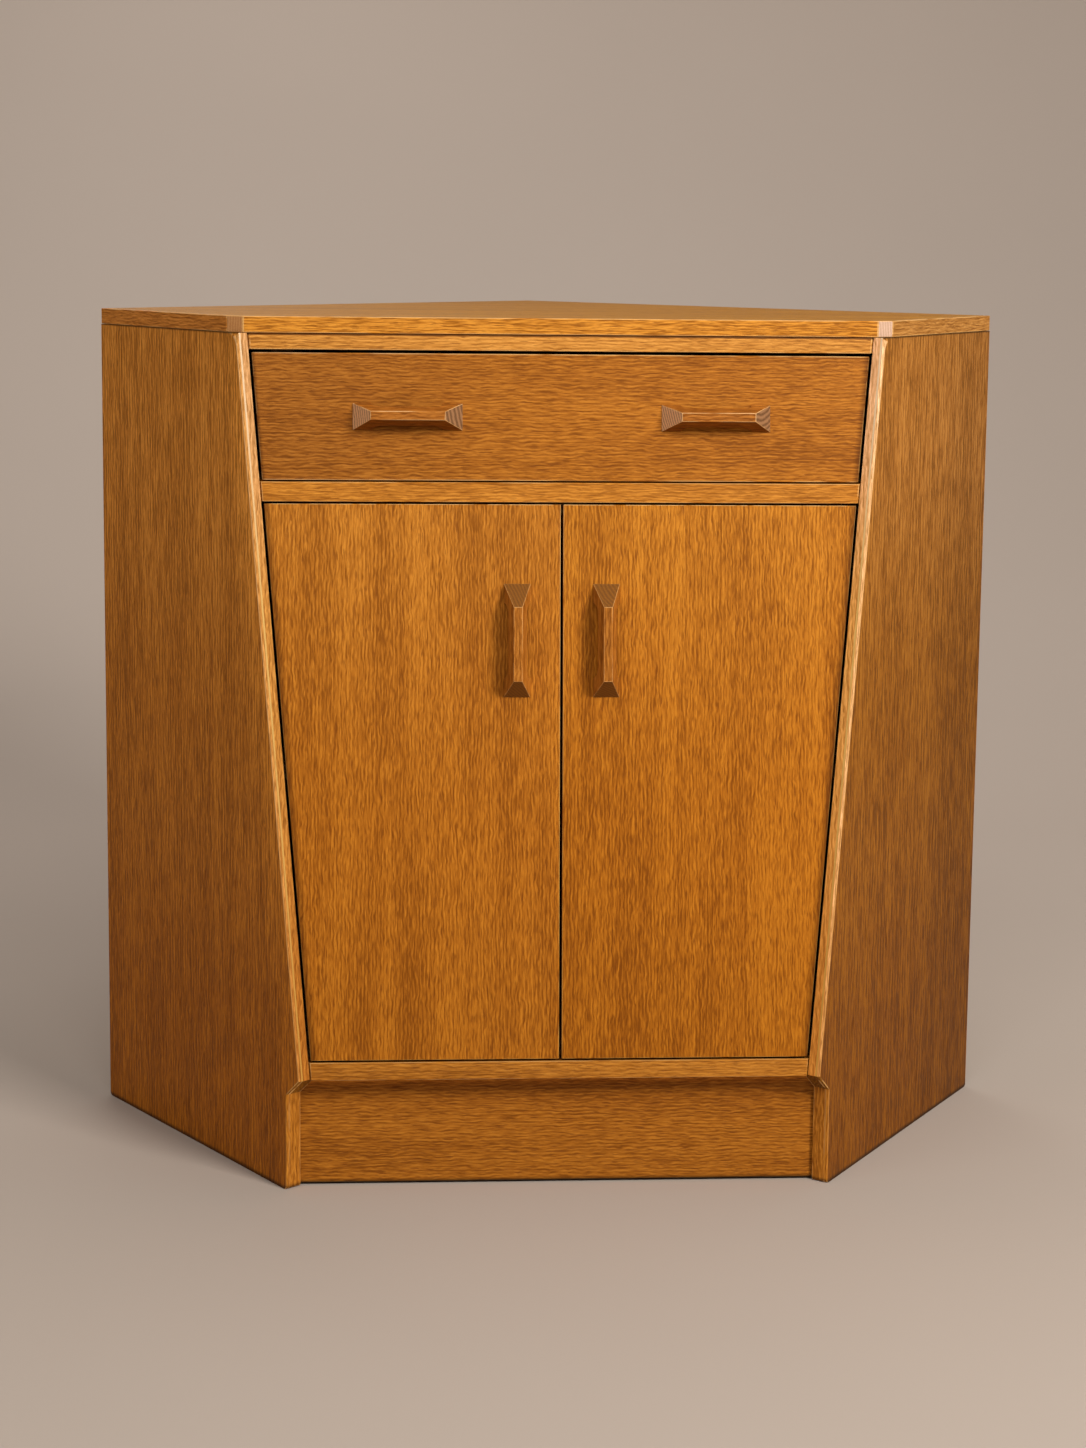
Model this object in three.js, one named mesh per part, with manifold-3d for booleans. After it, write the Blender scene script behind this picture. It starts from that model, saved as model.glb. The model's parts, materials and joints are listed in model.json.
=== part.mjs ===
// Corner cupboard: one drawer over a pair of doors, between two splayed side panels.
// Millimetres, +Z up, front towards -Y. The origin is on the floor, at the middle
// of the cupboard's width and depth.
import * as THREE from 'three';
import { mergeVertices } from 'three/addons/utils/BufferGeometryUtils.js';
import Module from 'manifold-3d';

const wasm = await Module();
wasm.setup();

// Overall sizes
const overallHeight = 770;
const overallWidth = 850;
const returnDegrees = 54; // between a side panel and the front
const wallDegrees = 45; // between a wall of the room and the front

// Fits
const jointGap = 0.3; // between glued or fitted faces
const runningGap = 0.8; // beside sliding pieces
const overrun = 20; // how far a cutter runs past what it cuts
const roundSides = 16;

// Top
const topThickness = 14.5;
const topReturnLength = 221.5; // outer corner to the facet, along the side
const lippingDepth = 8; // front lipping, front to back
const facetRun = 14.8; // facet across the lipping's end, along the front
const returnLippingDepth = 5;

// Side panels
const panelThickness = 15;
const edgePastFacet = 13.5; // from the top's facet forward to the sloping edge
const edgeSpread = 95.8; // how much further forward the edge is at the notch
const edgeBevel = 2;
const edgeFace = 11; // panel thickness that is left in front of the rebate
const rebateDepth = 14;
const flareHeight = 11.5; // the bevel widens over this height under the top
const floorCornerRadius = 3.5; // rounded corners at the floor
const curveSteps = 4;
const notchTop = 105;
const notchHeight = 17.5;
const footSetback = 18.8; // behind the sloping edge's lower end
const footBevel = 1;

// Front members, from the floor up
const plinthFloorGap = 2;
const bottomRailUnderside = 103.8;
const bottomRailHeight = 15.5;
const doorGap = 1.9; // over and under the doors
const topRailHeight = 14.5;
const middleRailHeight = 17.1;
const drawerUnderGap = 1.5;
const drawerFrontHeight = 111;
const drawerOverGap = 2.5;
const sideGap = 2.3; // doors and drawer to the side panels
const railEndGap = 1.2; // in front of the rails' joints with the side panels
const centreGap = 2.5; // between the doors
const frontThickness = 16; // doors and drawer front
const railDepth = 30;
const plinthThickness = 15;
const plinthSetback = 3; // behind the inner arris of the feet

// Boards and battens inside
const backThickness = 6;
const bottomThickness = 12;
const dividerThickness = 12;
const shelfThickness = 15;
const shelfHeight = 352; // underside, from the floor
const shelfSetback = 45; // behind the doors
const shelfClearance = 1.5;
const postWidth = 28;
const battenWidth = 18;
const battenEndMargin = 55; // outer corner to a batten's end
const battenFrontMargin = 46.5; // the other end to the top's facet
const rearBattenLength = 200;
const plinthBlockLeg = 32;
const plinthBlockFloorGap = 20;
const backFloorGap = 5;

// Drawer box
const boxSideMargin = 13.4; // drawer front's lower corner to the box
const boxBackClearance = 9; // to the back panels
const boxSideHeight = 100;
const boxSideThickness = 12;
const boxBottomThickness = 6;
const boxBottomHeight = 6; // above the sides' lower edges
const grooveDepth = 6;
const boxBackDrop = 8; // back's upper edge under the sides' upper edges
const runnerThickness = 3;
const guideWidth = 11;
const guideHeight = 14;
const kickerWidth = 20;

// Handles
const drawerHandleLength = 96.6;
const doorHandleLength = 100.2;
const doorHandleFaceShift = 2.5; // the front face sits low on a door handle
const handleWidth = 23.6;
const handleHeight = 22;
const handleFaceLength = 65;
const handleFaceWidth = 7.6;
const archHeight = 10;
const archFootLength = 17;
const archCurveLength = 11;
const archSteps = 6;
const drawerHandleInset = 127.3; // drawer front's lower corner to the handle's middle
const doorHandleInset = 38.2; // door's free edge to the handle's centre line
const doorHandleDrop = 119; // door's upper edge to the handle's middle
const screwInset = 11; // handle's end to its screw
const screwRadius = 1.7;
const screwHeadRadius = 4;
const screwHeadHeight = 2.4;
const screwReach = 8; // into the handle
const screwClearance = 0.3;

// Door pivots and catch
const pivotInset = 9; // door's outer edge to the pivot axis
const pivotPlateLength = 36;
const pivotPlateWidth = 9;
const pivotPlateThickness = 2;
const pivotPlateInset = 1.2; // door's outer edge to the plate's end
const pinRadius = 2.5;
const pinReach = 8; // past the socket plate
const pinClearance = 0.3;
const catchWidth = 46;
const catchDepth = 11;
const catchHeight = 10;
const strikeWidth = 15;
const strikeThickness = 1.5;

// Worked out from the sizes above
const halfWidth = overallWidth / 2;
const returnAngle = THREE.MathUtils.degToRad(returnDegrees);
const wallAngle = THREE.MathUtils.degToRad(wallDegrees);
const spreadAngle = returnAngle + wallAngle;
const apexY = halfWidth * Math.tan(wallAngle);
const edgeAtTop = topReturnLength + edgePastFacet;
const edgeAtNotch = edgeAtTop + edgeSpread;
const footLength = edgeAtNotch - footSetback;
const topUnderside = overallHeight - topThickness;
const panelTop = topUnderside - jointGap;
const bottomRailTop = bottomRailUnderside + bottomRailHeight;
const topRailUnderside = topUnderside - topRailHeight;
const drawerTop = topRailUnderside - drawerOverGap;
const drawerBottom = drawerTop - drawerFrontHeight;
const middleRailTop = drawerBottom - drawerUnderGap;
const middleRailUnderside = middleRailTop - middleRailHeight;
const doorTop = middleRailUnderside - doorGap;
const doorBottom = bottomRailTop + doorGap;
const innerFace = panelThickness + jointGap; // depth of a board's end beside a panel

// Materials
function wood(colour, roughness) {
  return new THREE.MeshStandardMaterial({ color: colour, roughness, metalness: 0 });
}

const sideVeneer = wood(0x9a6228, 0.45);
const topVeneer = wood(0xb5814a, 0.4);
const edgeWood = wood(0xc98a45, 0.42);
const doorVeneer = wood(0xb56f22, 0.42);
const drawerVeneer = wood(0xa2602a, 0.45);
const plinthVeneer = wood(0x8a5520, 0.5);
const handleWood = wood(0x9a6338, 0.4);
const innerBoard = wood(0xb08958, 0.6);
const battenWood = wood(0xc4a06c, 0.65);
const steel = new THREE.MeshStandardMaterial({ color: 0x9c9a94, roughness: 0.35, metalness: 1 });

// Plan of the side panels: length runs forward from the outer corner along the
// outer face, and depth runs square to it into the cupboard. Side is 1 on the right.
function panelPlan(side, length, depth) {
  const x = halfWidth - length * Math.cos(returnAngle) - depth * Math.sin(returnAngle);
  const y = depth * Math.cos(returnAngle) - length * Math.sin(returnAngle);
  return new THREE.Vector2(side * x, y);
}

function lengthAtWall(depth, wallOffset) {
  return (wallOffset + depth * Math.cos(spreadAngle)) / Math.sin(spreadAngle);
}

function lengthAtY(depth, y) {
  return (depth * Math.cos(returnAngle) - y) / Math.sin(returnAngle);
}

// A line at wallOffset inside the right-hand wall
function wallY(x, wallOffset) {
  return ((halfWidth - x) * Math.sin(wallAngle) - wallOffset) / Math.cos(wallAngle);
}

function wallX(y, wallOffset) {
  return halfWidth - (wallOffset + y * Math.cos(wallAngle)) / Math.sin(wallAngle);
}

// The sloping edge, and the leaning front plane through its inner arris
function bevelStart(z) {
  const drop = (topUnderside - z) / (topUnderside - notchTop);
  return THREE.MathUtils.lerp(edgeAtTop, edgeAtNotch, drop);
}

function edgeLength(z) {
  return bevelStart(z) + edgeBevel;
}

function frontY(z) {
  return panelPlan(1, edgeLength(z), edgeFace).y;
}

function openingHalfWidth(z) {
  return panelPlan(1, edgeLength(z), edgeFace).x;
}

function memberHalfWidth(z) {
  return openingHalfWidth(z) - sideGap;
}

const leanSlope = (frontY(topUnderside) - frontY(0)) / topUnderside;
const leanAngle = Math.atan(leanSlope);

// Solids
function indexedGeometry(positions, indices) {
  const geometry = new THREE.BufferGeometry();
  geometry.setAttribute('position', new THREE.Float32BufferAttribute(positions, 3));
  geometry.setIndex(indices);
  return geometry;
}

function signedVolume(positions, indices) {
  const corner = (index) => new THREE.Vector3().fromArray(positions, 3 * index);
  let volume = 0;
  for (let i = 0; i < indices.length; i += 3) {
    const cross = corner(indices[i]).cross(corner(indices[i + 1]));
    volume += cross.dot(corner(indices[i + 2]));
  }
  return volume;
}

// A closed solid through sections of equally many points, with flat ends.
// Outline is the sections' shape in two coordinates, for filling in the ends.
function loft(sections, outline) {
  const count = outline.length;
  const positions = sections.flat().flatMap((point) => point.toArray());
  const indices = [];
  for (let s = 0; s + 1 < sections.length; s += 1) {
    for (let i = 0; i < count; i += 1) {
      const a = s * count + i;
      const b = s * count + ((i + 1) % count);
      indices.push(a, b, b + count, a, b + count, a + count);
    }
  }
  const last = (sections.length - 1) * count;
  const clockwise = THREE.ShapeUtils.isClockWise(outline);
  for (const [a, p, q] of THREE.ShapeUtils.triangulateShape(outline, [])) {
    const [b, c] = clockwise ? [q, p] : [p, q];
    indices.push(a, c, b, last + a, last + b, last + c);
  }
  if (signedVolume(positions, indices) < 0) {
    indices.reverse();
  }
  return indexedGeometry(positions, indices);
}

function plate(outline, bottom, top) {
  const section = (z) => outline.map((point) => new THREE.Vector3(point.x, point.y, z));
  return loft([section(bottom), section(top)], outline);
}

// A front member: its profile in Y and Z runs across the front, to halfWidthAt(z)
function spanningMember(profile, halfWidthAt) {
  const outline = profile.map(([y, z]) => new THREE.Vector2(y, z));
  const section = (side) => profile.map(([y, z]) => new THREE.Vector3(side * halfWidthAt(z), y, z));
  return loft([section(-1), section(1)], outline);
}

// A rail runs on to the side panels
function rail(profile, cutters) {
  const intoPanels = (z) => openingHalfWidth(z) + railDepth;
  const ends = sides.map(({ side }) => railEndCutter(side));
  return cut(spanningMember(profile, intoPanels), [...ends, ...cutters]);
}

function box(low, high) {
  const size = new THREE.Vector3().subVectors(high, low);
  const geometry = new THREE.BoxGeometry(size.x, size.y, size.z);
  return geometry.translate((low.x + high.x) / 2, (low.y + high.y) / 2, (low.z + high.z) / 2);
}

function toSolid(geometry) {
  const bare = geometry.clone();
  bare.deleteAttribute('normal');
  bare.deleteAttribute('uv');
  const merged = mergeVertices(bare);
  return new wasm.Manifold(new wasm.Mesh({
    numProp: 3,
    vertProperties: new Float32Array(merged.attributes.position.array),
    triVerts: new Uint32Array(merged.index.array),
  }));
}

function toGeometry(solid) {
  const mesh = solid.getMesh();
  return indexedGeometry(Array.from(mesh.vertProperties), Array.from(mesh.triVerts));
}

function cut(geometry, cutters) {
  let solid = toSolid(geometry);
  for (const cutter of cutters) {
    solid = solid.subtract(toSolid(cutter));
  }
  return toGeometry(solid);
}

function join(geometries) {
  const [first, ...others] = geometries.map(toSolid);
  return toGeometry(others.reduce((sum, solid) => sum.add(solid), first));
}

function mirrorPoints(points) {
  return points.map((point) => new THREE.Vector2(-point.x, point.y));
}

function bothSides(rightPoints, middle = []) {
  return [...rightPoints, ...middle, ...mirrorPoints(rightPoints).reverse()];
}

function addPiece(parent, name, geometry, material) {
  const mesh = new THREE.Mesh(geometry, material);
  mesh.name = name;
  parent.add(mesh);
  return mesh;
}

const sides = [
  { name: 'left', side: -1 },
  { name: 'right', side: 1 },
];

// Top board and its lippings
const facetCorner = panelPlan(1, topReturnLength, 0);
const topFrontY = facetCorner.y - lippingDepth;

function addTop(parent) {
  const coreDepth = returnLippingDepth + jointGap;
  const coreFront = facetCorner.y + jointGap;
  const core = bothSides([
    panelPlan(1, lengthAtY(coreDepth, coreFront), coreDepth),
    panelPlan(1, lengthAtWall(coreDepth, 0), coreDepth),
  ], [new THREE.Vector2(0, apexY)]);
  addPiece(parent, 'top_board', plate(core, topUnderside, overallHeight), topVeneer);

  const lipping = bothSides([
    new THREE.Vector2(facetCorner.x - facetRun, topFrontY),
    facetCorner,
  ]);
  addPiece(parent, 'top_front_lipping', plate(lipping, topUnderside, overallHeight), edgeWood);

  for (const { name, side } of sides) {
    const outline = [
      panelPlan(side, lengthAtWall(0, 0), 0),
      panelPlan(side, lengthAtWall(returnLippingDepth, 0), returnLippingDepth),
      panelPlan(side, lengthAtY(returnLippingDepth, coreFront), returnLippingDepth),
      panelPlan(side, lengthAtY(0, coreFront), 0),
    ];
    addPiece(parent, `top_${name}_lipping`, plate(outline, topUnderside, overallHeight), edgeWood);
  }
}

// Side panels: plan sections stacked from the floor to the top
function panelSection(side, z, start, end, { bevel = edgeBevel, inset = 0 } = {}) {
  const corners = [
    [lengthAtWall(0, 0) + inset, 0],
    [start, 0],
    [end, bevel],
    [end, panelThickness],
    [lengthAtWall(panelThickness, 0) + inset, panelThickness],
  ];
  return panelPoints(side, z, corners);
}

function panelPoints(side, z, corners) {
  return corners.map(([length, depth]) => {
    const point = panelPlan(side, length, depth);
    return new THREE.Vector3(point.x, point.y, z);
  });
}

// The foot's ends round up from the floor, and the bevel flares out under the top
function panelSections(side) {
  const curve = Array.from({ length: curveSteps + 1 }, (_, i) => (i / curveSteps) * (Math.PI / 2));
  const footStart = footLength - footBevel;
  const flareStart = panelTop - flareHeight;
  const roundedFoot = curve.map((turn) => {
    const z = floorCornerRadius * (1 - Math.cos(turn));
    const inset = floorCornerRadius * (1 - Math.sin(turn));
    return panelSection(side, z, footStart - inset, footLength - inset, { bevel: footBevel, inset });
  });
  const flare = curve.map((turn) => {
    const z = flareStart + flareHeight * Math.sin(turn);
    const start = bevelStart(z) - edgePastFacet * (1 - Math.cos(turn));
    return panelSection(side, z, start, edgeLength(z));
  });
  const notchBottom = notchTop - notchHeight;
  return [
    ...roundedFoot,
    panelSection(side, notchBottom, footStart, footLength, { bevel: footBevel }),
    panelSection(side, notchTop, bevelStart(notchTop), edgeLength(notchTop)),
    ...flare,
  ];
}

// Cuts what lies beside the sloping edge: corners gives its plan at a height
function edgeCutter(side, bottom, top, corners) {
  const low = panelPoints(side, bottom, corners(bottom));
  const high = panelPoints(side, top, corners(top));
  return loft([low, high], low.map((point) => new THREE.Vector2(point.x, point.y)));
}

// The rebate behind the sloping edge gives the doors room to turn
function rebateCutter(side) {
  return edgeCutter(side, bottomRailUnderside - jointGap, topUnderside + overrun, (z) => [
    [edgeLength(z) - rebateDepth, edgeFace],
    [edgeLength(z) + overrun, edgeFace],
    [edgeLength(z) + overrun, panelThickness + overrun],
    [edgeLength(z) - rebateDepth, panelThickness + overrun],
  ]);
}

// Takes a side panel's shape, and all beyond it, off the end of a rail
function railEndCutter(side) {
  return edgeCutter(side, 0, topUnderside + overrun, (z) => [
    [edgeLength(z) + overrun, edgeFace + railEndGap],
    [edgeLength(z) - rebateDepth + jointGap, edgeFace + railEndGap],
    [edgeLength(z) - rebateDepth + jointGap, innerFace],
    [0, innerFace],
    [0, -overrun],
    [edgeLength(z) + overrun, -overrun],
  ]);
}

function addSidePanels(parent) {
  for (const { name, side } of sides) {
    const sections = panelSections(side);
    const outline = sections[0].map((point) => new THREE.Vector2(point.x, point.y));
    const panel = cut(loft(sections, outline), [rebateCutter(side)]);
    addPiece(parent, `${name}_side_panel`, panel, sideVeneer);
  }
}

// Back panels along the walls, and the post in the corner that holds both
const postOuterY = wallY(0, backThickness + jointGap);
const postFrontY = postOuterY - 2 * postWidth * Math.sin(wallAngle);

function addBack(parent) {
  for (const { name, side } of sides) {
    const half = jointGap / 2;
    const points = [
      panelPlan(1, lengthAtWall(innerFace, 0), innerFace),
      new THREE.Vector2(half, wallY(half, 0)),
      new THREE.Vector2(half, wallY(half, backThickness)),
      panelPlan(1, lengthAtWall(innerFace, backThickness), innerFace),
    ];
    const outline = side > 0 ? points : mirrorPoints(points);
    addPiece(parent, `${name}_back_panel`, plate(outline, backFloorGap, panelTop), innerBoard);
  }
  const reachX = postWidth * Math.cos(wallAngle);
  const reachY = postWidth * Math.sin(wallAngle);
  const post = [
    new THREE.Vector2(0, postFrontY),
    new THREE.Vector2(reachX, postOuterY - reachY),
    new THREE.Vector2(0, postOuterY),
    new THREE.Vector2(-reachX, postOuterY - reachY),
  ];
  addPiece(parent, 'corner_post', plate(post, 0, panelTop), battenWood);
}

// A level board between the side panels, the back panels and the corner post
function boardOutline(boardFrontY, clearance) {
  const depth = panelThickness + clearance;
  const wallOffset = backThickness + clearance;
  const rearY = postFrontY - clearance;
  return bothSides([
    panelPlan(1, lengthAtY(depth, boardFrontY), depth),
    panelPlan(1, lengthAtWall(depth, wallOffset), depth),
    new THREE.Vector2(wallX(rearY, wallOffset), rearY),
  ]);
}

function addBoards(parent) {
  const bottomFront = frontY(bottomRailTop) + railDepth + jointGap;
  const bottomOutline = boardOutline(bottomFront, jointGap);
  const bottomTop = bottomRailUnderside + bottomThickness;
  addPiece(parent, 'bottom_board', plate(bottomOutline, bottomRailUnderside, bottomTop), innerBoard);

  const dividerTop = drawerBottom - jointGap - runnerThickness - jointGap;
  const dividerFront = frontY(middleRailTop) + railDepth + jointGap;
  const dividerOutline = boardOutline(dividerFront, jointGap);
  const divider = plate(dividerOutline, dividerTop - dividerThickness, dividerTop);
  addPiece(parent, 'divider_board', divider, innerBoard);

  const shelfFront = frontY(shelfHeight) + frontThickness + shelfSetback;
  const shelfOutline = boardOutline(shelfFront, shelfClearance);
  addPiece(parent, 'shelf', plate(shelfOutline, shelfHeight, shelfHeight + shelfThickness), innerBoard);
}

// Rails across the front, and the plinth under them
function pivotPocket(z, side, direction) {
  const low = new THREE.Vector3(-pivotPlateLength - jointGap, -pivotPlateWidth / 2 - jointGap, -overrun);
  const high = new THREE.Vector3(jointGap, pivotPlateWidth / 2 + jointGap, pivotPlateThickness + jointGap);
  return placeAtPivot(box(low, high), z, side, direction);
}

// Stands a solid, modelled over the XY plane with its end at x = 0, on the leaning
// front at a plate's outer end. Direction is 1 for a rail above and -1 for one below.
function placeAtPivot(geometry, z, side, direction) {
  const placed = geometry.clone();
  placed.applyMatrix4(new THREE.Matrix4().makeScale(side, 1, direction));
  placed.translate(side * (memberHalfWidth(z) - pivotPlateInset), frontThickness / 2, 0);
  placed.rotateX(-leanAngle);
  placed.translate(0, frontY(z), z);
  return side * direction < 0 ? flipped(placed) : placed;
}

function flipped(geometry) {
  const turned = geometry.clone();
  turned.setIndex(Array.from(geometry.index.array).reverse());
  return turned;
}

function addRails(parent) {
  const topRail = [
    [frontY(topRailUnderside), topRailUnderside],
    [frontY(topRailUnderside) + railDepth, topRailUnderside],
    [frontY(topRailUnderside) + railDepth, panelTop],
    [frontY(panelTop), panelTop],
  ];
  addPiece(parent, 'top_rail', rail(topRail, []), edgeWood);

  const middleBack = frontY(middleRailTop) + railDepth;
  const middleDrop = (middleBack - frontY(middleRailUnderside)) * leanSlope;
  const middleRail = [
    [frontY(middleRailUnderside), middleRailUnderside],
    [middleBack, middleRailUnderside - middleDrop],
    [middleBack, middleRailTop],
    [frontY(middleRailTop), middleRailTop],
  ];
  const upperPockets = sides.map(({ side }) => pivotPocket(middleRailUnderside, side, 1));
  addPiece(parent, 'middle_rail', rail(middleRail, upperPockets), edgeWood);

  const bottomBack = frontY(bottomRailTop) + railDepth;
  const bottomRail = [
    [frontY(bottomRailUnderside), bottomRailUnderside],
    [bottomBack, bottomRailUnderside],
    [bottomBack, bottomRailTop - railDepth * leanSlope],
    [frontY(bottomRailTop), bottomRailTop],
  ];
  const lowerPockets = sides.map(({ side }) => pivotPocket(bottomRailTop, side, -1));
  addPiece(parent, 'bottom_rail', rail(bottomRail, lowerPockets), edgeWood);
}

function addPlinth(parent) {
  const front = panelPlan(1, footLength, panelThickness).y + plinthSetback;
  const back = front + plinthThickness;
  const outline = bothSides([
    panelPlan(1, lengthAtY(innerFace, front), innerFace),
    panelPlan(1, lengthAtY(innerFace, back), innerFace),
  ]);
  const plinthTop = bottomRailUnderside - jointGap;
  addPiece(parent, 'plinth', plate(outline, plinthFloorGap, plinthTop), plinthVeneer);

  for (const { name, side } of sides) {
    const blockFront = back + jointGap;
    const cornerLength = lengthAtY(innerFace, blockFront);
    const corner = panelPlan(side, cornerLength, innerFace);
    const block = [
      corner,
      panelPlan(side, cornerLength - plinthBlockLeg, innerFace),
      new THREE.Vector2(corner.x - side * plinthBlockLeg, corner.y),
    ];
    const geometry = plate(block, plinthBlockFloorGap, plinthTop);
    addPiece(parent, `${name}_plinth_block`, geometry, battenWood);
  }
}

// Battens: shelf bearers on the side and back panels, and blocks under the top
function sideBatten(side, bottom, top) {
  const end = topReturnLength - battenFrontMargin;
  const outline = [
    panelPlan(side, battenEndMargin, innerFace),
    panelPlan(side, end, innerFace),
    panelPlan(side, end, innerFace + battenWidth),
    panelPlan(side, battenEndMargin, innerFace + battenWidth),
  ];
  return plate(outline, bottom, top);
}

function rearBatten(side, bottom, top) {
  const wallOffset = backThickness + jointGap;
  const start = new THREE.Vector2(halfWidth, 0);
  const alongWall = new THREE.Vector2(-Math.cos(wallAngle), Math.sin(wallAngle));
  const offWall = new THREE.Vector2(-Math.sin(wallAngle), -Math.cos(wallAngle));
  const near = halfWidth / Math.cos(wallAngle) / 2 - rearBattenLength / 2;
  const at = (distance, offset) => start.clone()
    .addScaledVector(alongWall, distance)
    .addScaledVector(offWall, offset);
  const points = [
    at(near, wallOffset),
    at(near + rearBattenLength, wallOffset),
    at(near + rearBattenLength, wallOffset + battenWidth),
    at(near, wallOffset + battenWidth),
  ];
  return plate(side > 0 ? points : mirrorPoints(points), bottom, top);
}

function addBattens(parent) {
  const bearerTop = shelfHeight - jointGap;
  const bearerBottom = bearerTop - battenWidth;
  for (const { name, side } of sides) {
    addPiece(parent, `${name}_shelf_bearer`, sideBatten(side, bearerBottom, bearerTop), battenWood);
    addPiece(parent, `${name}_rear_shelf_bearer`, rearBatten(side, bearerBottom, bearerTop), battenWood);
    addPiece(parent, `${name}_top_block`, sideBatten(side, panelTop - battenWidth, panelTop), battenWood);
  }
}

// Drawer runners under the box, with a guide beside it, and kickers over it
const boxHalfWidth = memberHalfWidth(drawerBottom) - boxSideMargin;
const boxBackY = wallY(boxHalfWidth, backThickness + boxBackClearance);
const boxSideTop = drawerBottom + boxSideHeight;

function addDrawerWays(parent) {
  const runnerTop = drawerBottom - jointGap;
  const runnerBottom = runnerTop - runnerThickness;
  const runnerFront = frontY(middleRailTop) + railDepth + jointGap;
  const guideX = boxHalfWidth + runningGap;
  for (const { name, side } of sides) {
    const profile = [
      new THREE.Vector2(boxHalfWidth - boxSideThickness, runnerBottom),
      new THREE.Vector2(guideX + guideWidth, runnerBottom),
      new THREE.Vector2(guideX + guideWidth, runnerTop + guideHeight),
      new THREE.Vector2(guideX, runnerTop + guideHeight),
      new THREE.Vector2(guideX, runnerTop),
      new THREE.Vector2(boxHalfWidth - boxSideThickness, runnerTop),
    ];
    const runnerBack = wallY(guideX + guideWidth, backThickness + jointGap);
    const section = (y) => profile.map((point) => new THREE.Vector3(side * point.x, y, point.y));
    const runner = loft([section(runnerFront), section(runnerBack)], profile);
    addPiece(parent, `${name}_drawer_runner`, runner, battenWood);

    const kickerX = boxHalfWidth - boxSideThickness;
    const kickerEdges = [side * kickerX, side * (kickerX + kickerWidth)].sort((a, b) => a - b);
    const kickerFront = frontY(topRailUnderside) + railDepth + jointGap;
    const low = new THREE.Vector3(kickerEdges[0], kickerFront, boxSideTop + runningGap);
    const high = new THREE.Vector3(kickerEdges[1], boxBackY, panelTop);
    addPiece(parent, `${name}_drawer_kicker`, box(low, high), battenWood);
  }
}

// Handle: a tapered bar with an arch under it for the fingers. Its length is along X,
// its back is on the XZ plane and it stands out towards -Y.
function handleArch(length) {
  const footInner = length / 2 - archFootLength;
  const outline = [new THREE.Vector2(footInner, -overrun)];
  for (let i = 0; i <= archSteps; i += 1) {
    const turn = (i / archSteps) * (Math.PI / 2);
    const x = footInner - archCurveLength + archCurveLength * Math.cos(turn);
    outline.push(new THREE.Vector2(x, archHeight * Math.sin(turn)));
  }
  return bothSides(outline);
}

function handleGeometry(length, faceShift) {
  const rectangle = (run, width, height, shift) => [[1, 1], [1, -1], [-1, -1], [-1, 1]].map(
    ([x, z]) => new THREE.Vector3(shift + x * run / 2, -height, z * width / 2),
  );
  const base = rectangle(length, handleWidth, 0, 0);
  const face = rectangle(handleFaceLength, handleFaceWidth, handleHeight, faceShift);
  const block = loft([base, face], base.map((point) => new THREE.Vector2(point.x, point.z)));
  const arch = handleArch(length);
  const archEnd = (z) => arch.map((point) => new THREE.Vector3(point.x, -point.y, z));
  const reach = handleWidth / 2 + overrun;
  const cutters = [loft([archEnd(-reach), archEnd(reach)], arch)];
  const holeDepth = screwReach + jointGap;
  for (const x of screwPlaces(length)) {
    cutters.push(hole(screwRadius + screwClearance, overrun, -holeDepth).translate(x, 0, 0));
  }
  return cut(block, cutters);
}

function screwPlaces(length) {
  const place = length / 2 - screwInset;
  return [-place, place];
}

// A round hole along Y, from its start to its end
function hole(radius, start, end) {
  const geometry = new THREE.CylinderGeometry(radius, radius, start - end, roundSides);
  return geometry.translate(0, (start + end) / 2, 0);
}

function screwGeometry() {
  const headBack = frontThickness + jointGap;
  const profile = [
    new THREE.Vector2(0, -screwReach),
    new THREE.Vector2(screwRadius, -screwReach),
    new THREE.Vector2(screwRadius, headBack),
    new THREE.Vector2(screwHeadRadius, headBack),
    new THREE.Vector2(screwHeadRadius, headBack + screwHeadHeight / 2),
    new THREE.Vector2(screwRadius, headBack + screwHeadHeight),
    new THREE.Vector2(0, headBack + screwHeadHeight),
  ];
  return new THREE.LatheGeometry(profile, roundSides);
}

// Adds a handle with its two screws on the leaning front, level or upright, and
// returns the holes for the screws
function addHandle(parent, name, x, z, { length, faceShift, turn }) {
  const place = (geometry, back) => geometry.rotateY(turn)
    .translate(x, back, 0)
    .rotateX(-leanAngle)
    .translate(0, frontY(z), z);
  addPiece(parent, name, place(handleGeometry(length, faceShift), -jointGap), handleWood);
  return screwPlaces(length).map((offset, index) => {
    const screw = mergedSolid(screwGeometry()).translate(offset, 0, 0);
    addPiece(parent, `${name}_screw_${index + 1}`, place(screw, 0), steel);
    const screwHole = hole(screwRadius + screwClearance, frontThickness + overrun, -overrun);
    return place(screwHole.translate(offset, 0, 0), 0);
  });
}

const drawerHandle = { length: drawerHandleLength, faceShift: 0, turn: 0 };
const doorHandle = { length: doorHandleLength, faceShift: doorHandleFaceShift, turn: Math.PI / 2 };

function mergedSolid(geometry) {
  return toGeometry(toSolid(geometry));
}

// Drawer
function addDrawer(parent) {
  addDrawerFront(parent);
  addDrawerBox(parent);
}

// Y of the leaning front's back face at a height
function frontBackY(z) {
  return frontY(z) + frontThickness / Math.cos(leanAngle);
}

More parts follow.
